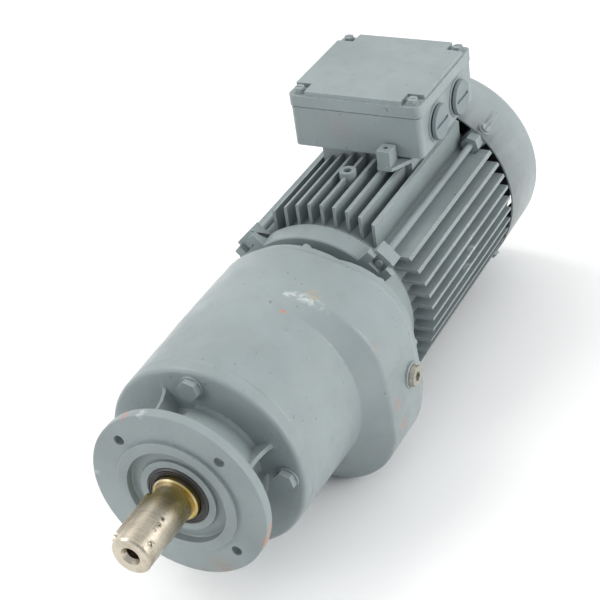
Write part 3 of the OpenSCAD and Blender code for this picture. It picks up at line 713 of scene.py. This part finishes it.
for i in range(npf - 1):
    for k in range(NF):
        k2 = (k + 1) % NF
        nf.append([i * NF + k, i * NF + k2, (i + 1) * NF + k2, (i + 1) * NF + k])
nv.append((0, 9.5, 0)); nv.append((0, 62.0, 0))
for k in range(NF):
    k2 = (k + 1) % NF
    nf.append([npf * NF, k2, k])
    nf.append([npf * NF + 1, (npf - 1) * NF + k, (npf - 1) * NF + k2])
flange = raw_object("output_flange_casting", plate)
# the neck overlaps the plate by half a millimetre
carve(flange, [(nv, nf)], "UNION")
carve(flange, [cylm(62, 61, 67, seg=128)], "UNION")
holes45 = [(65 * math.cos(math.radians(a)), 65 * math.sin(math.radians(a))) for a in (45, 135, 225, 315)]
hole = lambda x, z: lathe([(0, -1), (5.1, -1), (5.1, -0.01), (4.5, 0.6), (4.5, 18), (0, 18)], 40, x, z)
carve(flange, [lathe([(0, -6), (28.6, -6), (28.6, 0.0), (28.0, 0.6), (28.0, 9.0), (23.5, 9.0), (23.5, 24.0), (42.5, 24.0), (42.5, 43.0), (43.0, 43.0),
                      (43.0, 80), (0, 80)], 144)]
      + [hole(x, z) for x, z in holes45]
      + [cylm(5.5, 44, 64, x, z, 32) for x, z in quarter])
finish_piece(flange, m_flange, "root", ["output_flange"], sharp=38)

# ------------------------------------------------------------------ CAD nodes with eased edges
def dress(node, mat, width=0.0, seg=2, angle=30):
    ob = nodes[node]
    ob.data.materials.clear()
    ob.data.materials.append(mat)
    if width > 0:
        w = ob.modifiers.new("weld", "WELD"); w.merge_threshold = 2e-6
        d = ob.modifiers.new("flat", "DECIMATE"); d.decimate_type = "DISSOLVE"; d.angle_limit = math.radians(0.6)
        b = ob.modifiers.new("edges", "BEVEL"); b.width = width * MM; b.segments = seg; b.limit_method = "ANGLE"
        b.angle_limit = math.radians(angle); b.harden_normals = False; b.use_clamp_overlap = True


for n in nodes:
    dress(n, m_steel)
dress("output_seal", m_rubber)
dress("output_shaft", m_shaft)
dress("output_key", m_shaft, 0.4)
dress("rear_cover", m_case, 0.8)
dress("rear_cover_screws", m_bolt)
dress("flange_bolts", m_bolt)
dress("flange_bolt_washers", m_bolt, 0.3)
dress("oil_plugs", m_plated)
dress("oil_plug_washers", m_plated)
dress("motor_housing", m_alu)
dress("front_end_shield", m_shield, 0.6)
dress("rear_end_shield", m_shield, 0.6)
dress("tie_rods", m_bolt)
dress("tie_rod_nuts", m_plated)
dress("rotor_seal", m_rubber)
dress("fan", m_fan)
dress("fan_cowl", m_cowl, 0.3)
dress("cowl_screws", m_bolt)
dress("terminal_box", m_box, 0.7)
dress("terminal_lid", m_box, 0.7)
dress("lid_gasket", m_gasket)
dress("lid_screws", m_bolt)
dress("blanking_plugs", m_plug, 0.4)
dress("plug_seals", m_rubber)
dress("terminal_block", m_block, 0.4)
dress("terminal_studs", m_brass)
dress("stator_core", m_lam)
dress("rotor_core", m_lam)
dress("rotor_cage", m_cage)
dress("stator_winding", m_wind)

# ------------------------------------------------------------------ floor and light
lowest = float(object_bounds()[0][2])
fm, fnt, fbs = nt_new("floor_white")
fg = G(fnt)
fcol = fg.mix(fg.ramp(fg.noise(3.0, 3, 0.5), [(0.3, 0.0), (0.7, 1.0)]), (0.93, 0.93, 0.932), (0.96, 0.96, 0.96))
fg.link(fcol, fbs.inputs["Base Color"])
fbs.inputs["Roughness"].default_value = 0.75
fme = bpy.data.meshes.new("floor")
S = 12.0
fme.from_pydata([(-S, -S, lowest), (S, -S, lowest), (S, S, lowest), (-S, S, lowest)], [], [[0, 1, 2, 3]])
floor = bpy.data.objects.new("floor", fme)
scene.collection.objects.link(floor)
fme.materials.append(fm)


def area(name, loc, target, size, power, size_y=None, color=(1, 1, 1)):
    ld = bpy.data.lights.new(name, "AREA")
    ld.shape = "RECTANGLE"
    ld.size = size
    ld.size_y = size_y or size
    ld.energy = power
    ld.color = color
    o = bpy.data.objects.new(name, ld)
    scene.collection.objects.link(o)
    o.location = loc
    o.rotation_euler = (Vector(target) - Vector(loc)).to_track_quat("-Z", "Y").to_euler()
    return o


area("key", (-1.5, 0.5, 2.1), (0, 0.2, 0), 1.5, 25, color=(1.0, 0.985, 0.955))
area("side", (2.3, 0.7, 1.0), (0, 0.2, 0.02), 1.5, 33, color=(1.0, 0.99, 0.98))
area("front", (-1.5, -1.7, 0.9), (0, 0.0, 0), 1.0, 14)
w = bpy.data.worlds.new("world")
scene.world = w
w.use_nodes = True
wt = w.node_tree
bg = wt.nodes["Background"]
wc = wt.nodes.new("ShaderNodeTexCoord")
wd = wt.nodes.new("ShaderNodeVectorMath")
wd.operation = "DOT_PRODUCT"
wt.links.new(wc.outputs["Generated"], wd.inputs[0])
wd.inputs[1].default_value = (0.435, -0.714, 0.549)
wr = wt.nodes.new("ShaderNodeValToRGB")
wr.color_ramp.interpolation = "EASE"
we = wr.color_ramp.elements
# a light tent: bright all round, dim where the photographer stands
we[0].position = 0.18
we[0].color = (1.0, 1.0, 0.995, 1)
we[1].position = 0.95
we[1].color = (0.62, 0.64, 0.66, 1)
wt.links.new(wd.outputs["Value"], wr.inputs[0])
wt.links.new(wr.outputs[0], bg.inputs[0])
bg.inputs[1].default_value = 1.0
scene.view_settings.view_transform = "Standard"
